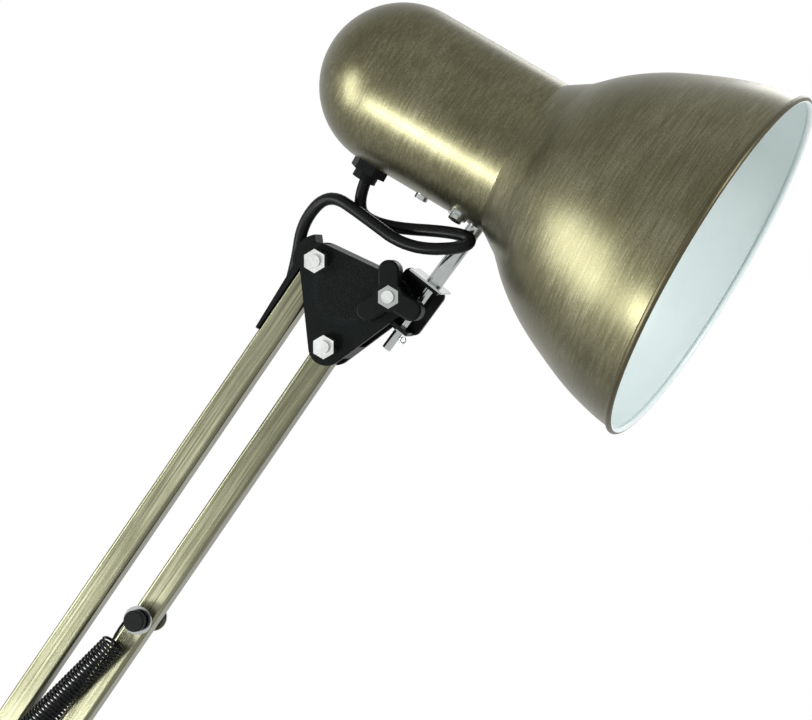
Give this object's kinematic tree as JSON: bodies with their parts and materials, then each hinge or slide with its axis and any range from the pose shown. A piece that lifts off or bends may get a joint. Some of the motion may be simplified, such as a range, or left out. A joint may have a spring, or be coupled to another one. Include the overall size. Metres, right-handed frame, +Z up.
{
  "type": "table lamp",
  "caption": "Counterbalanced table lamp with a spun bronze shade on two linked tube arms, springs, a swivelling round base and a black lead.",
  "frame": {"origin": "centre of the base's underside, where the pad rests", "axes": "+Z up, +X toward the shade's mouth, arms fold in the XZ plane, the lead leaves toward +Y"},
  "size_m": [0.4901, 0.317, 0.8715],
  "materials": {
    "bronze_tube": "brushed antique bronze",
    "bronze_spun": "brushed antique bronze outside, white enamel inside",
    "bronze_base": "satin bronze",
    "black_plastic": "fine grained black",
    "rocker_plastic": "gloss black",
    "black_metal": "semi-gloss black",
    "chrome": "bright",
    "zinc_steel": "bright zinc plated",
    "brass": "plain",
    "iron": "rough",
    "rubber": "matt black",
    "ceramic": "glazed",
    "holder_shell": "black"
  },
  "bodies": {
    "base": {"base_pad": "rubber", "base_weight": "iron", "base_shell": "bronze_base", "swivel_bush": "brass", "base_gland": "rubber", "cord_base": "rubber", "cord_coil": "rubber", "lead_cord": "rubber", "switch_housing": "black_plastic", "plug_body": "black_plastic", "plug_pins": "brass"},
    "rocker": {"switch_rocker": "rocker_plastic"},
    "bracket": {"spindle": "zinc_steel", "base_bracket": "black_metal", "bracket_fasteners": "zinc_steel", "bracket_caps": "black_plastic", "cord_bracket": "rubber"},
    "lower_main": {"lower_main_tube": "bronze_tube", "lower_main_bushes": "black_plastic", "lower_spring_studs": "zinc_steel", "lower_stud_caps": "black_plastic", "cord_lower": "rubber"},
    "lower_link": {"lower_link_tube": "bronze_tube", "lower_link_bushes": "black_plastic"},
    "lower_spring": {"lower_springs": "black_metal"},
    "lower_spring_end": {"lower_spring_eyes": "chrome"},
    "elbow": {"elbow_plate_front": "black_plastic", "elbow_plate_back": "black_plastic", "elbow_fasteners": "zinc_steel", "elbow_caps": "black_plastic", "cord_elbow": "rubber"},
    "upper_cord_arm": {"upper_cord_tube": "bronze_tube", "upper_cord_bushes": "black_plastic", "cord_guide": "black_plastic", "cord_upper": "rubber"},
    "upper_spring_arm": {"upper_spring_tube": "bronze_tube", "upper_spring_bushes": "black_plastic", "upper_spring_studs": "zinc_steel", "upper_stud_caps": "black_plastic"},
    "upper_spring": {"upper_springs": "black_metal"},
    "upper_spring_end": {"upper_spring_eyes": "chrome"},
    "head_plates": {"head_plate_front": "black_plastic", "head_plate_back": "black_plastic", "head_fasteners": "zinc_steel", "tilt_bolt": "zinc_steel", "tilt_sleeve": "zinc_steel"},
    "knob": {"tilt_knob": "black_plastic", "knob_nut": "chrome"},
    "stirrup": {"stirrup": "black_metal", "friction_plate": "chrome"},
    "head": {"stem": "chrome", "stem_keeper": "chrome", "shade": "bronze_spun", "lampholder_shell": "holder_shell", "lampholder_ceramic": "ceramic", "lampholder_sleeve": "brass", "holder_bracket": "zinc_steel", "head_screws": "chrome", "head_gland": "black_plastic", "head_cord": "rubber"}
  },
  "joints": [
    {"name": "base_swivel", "type": "hinge", "parent": "base", "child": "bracket", "pos_m": [0, 0, 0.0292], "axis": [0, 0, 1], "range_deg": [-160, 160]},
    {"name": "switch_rock", "type": "hinge", "parent": "base", "child": "rocker", "pos_m": [-0.13, 0.205, 0.012], "axis": [0, 1, 0], "range_deg": [-8, 8]},
    {"name": "lower_arm", "type": "hinge", "parent": "bracket", "child": "lower_main", "pos_m": [-0.004, 0, 0.072], "axis": [0, -1, 0], "range_deg": [-18, 28], "deforming": ["cord_bracket"]},
    {"name": "lower_link", "type": "hinge", "parent": "bracket", "child": "lower_link", "pos_m": [0.0043, 0, 0.1122], "axis": [0, -1, 0], "range_deg": [-18, 28]},
    {"name": "lower_spring_swing", "type": "hinge", "parent": "bracket", "child": "lower_spring", "pos_m": [0.0043, 0, 0.1122], "axis": [0, -1, 0], "range_deg": [-21, 32], "deforming": ["lower_springs"]},
    {"name": "lower_spring_stretch", "type": "slide", "parent": "lower_spring", "child": "lower_spring_end", "axis": [-0.6494, 0, 0.7605], "range_m": [-0.0108, 0.0167], "deforming": ["lower_spring_eyes"]},
    {"name": "elbow_level", "type": "hinge", "parent": "lower_main", "child": "elbow", "pos_m": [-0.174, 0, 0.36645], "axis": [0, -1, 0], "range_deg": [-28, 18], "deforming": ["cord_elbow"]},
    {"name": "upper_arm", "type": "hinge", "parent": "elbow", "child": "upper_cord_arm", "pos_m": [-0.1702, 0, 0.47155], "axis": [0, -1, 0], "range_deg": [-28, 18], "deforming": ["head_cord"]},
    {"name": "upper_link", "type": "hinge", "parent": "elbow", "child": "upper_spring_arm", "pos_m": [-0.1657, 0, 0.43065], "axis": [0, -1, 0], "range_deg": [-28, 18]},
    {"name": "upper_spring_swing", "type": "hinge", "parent": "elbow", "child": "upper_spring", "pos_m": [-0.1702, 0, 0.47155], "axis": [0, -1, 0], "range_deg": [-32, 21], "deforming": ["upper_springs"]},
    {"name": "upper_spring_stretch", "type": "slide", "parent": "upper_spring", "child": "upper_spring_end", "axis": [0.7184, 0, 0.6956], "range_m": [-0.0108, 0.0167], "deforming": ["upper_spring_eyes"]},
    {"name": "head_level", "type": "hinge", "parent": "upper_cord_arm", "child": "head_plates", "pos_m": [0.02676, 0, 0.74869], "axis": [0, -1, 0], "range_deg": [-18, 28]},
    {"name": "head_tilt", "type": "hinge", "parent": "head_plates", "child": "stirrup", "pos_m": [0.06426, 0, 0.73159], "axis": [0, -1, 0], "range_deg": [-60, 40]},
    {"name": "head_swivel", "type": "hinge", "parent": "stirrup", "child": "head", "pos_m": [0.08154, 0, 0.73727], "axis": [0.6067, 0, 0.7949], "range_deg": [-80, 80]},
    {"name": "knob_turn", "type": "hinge", "parent": "head_plates", "child": "knob", "pos_m": [0.06426, -0.012, 0.73159], "axis": [0, -1, 0], "range_deg": [-30, 150]}
  ],
  "couplings": [
    {"joint": "lower_link", "follows": "lower_arm", "ratio": 1},
    {"joint": "lower_spring_swing", "follows": "lower_arm", "ratio": 1.14},
    {"joint": "lower_spring_stretch", "follows": "lower_arm", "m_per_rad": 0.034},
    {"joint": "elbow_level", "follows": "lower_arm", "ratio": -1},
    {"joint": "upper_link", "follows": "upper_arm", "ratio": 1},
    {"joint": "upper_spring_swing", "follows": "upper_arm", "ratio": 1.14},
    {"joint": "upper_spring_stretch", "follows": "upper_arm", "m_per_rad": -0.034},
    {"joint": "head_level", "follows": "upper_arm", "ratio": -1}
  ]
}
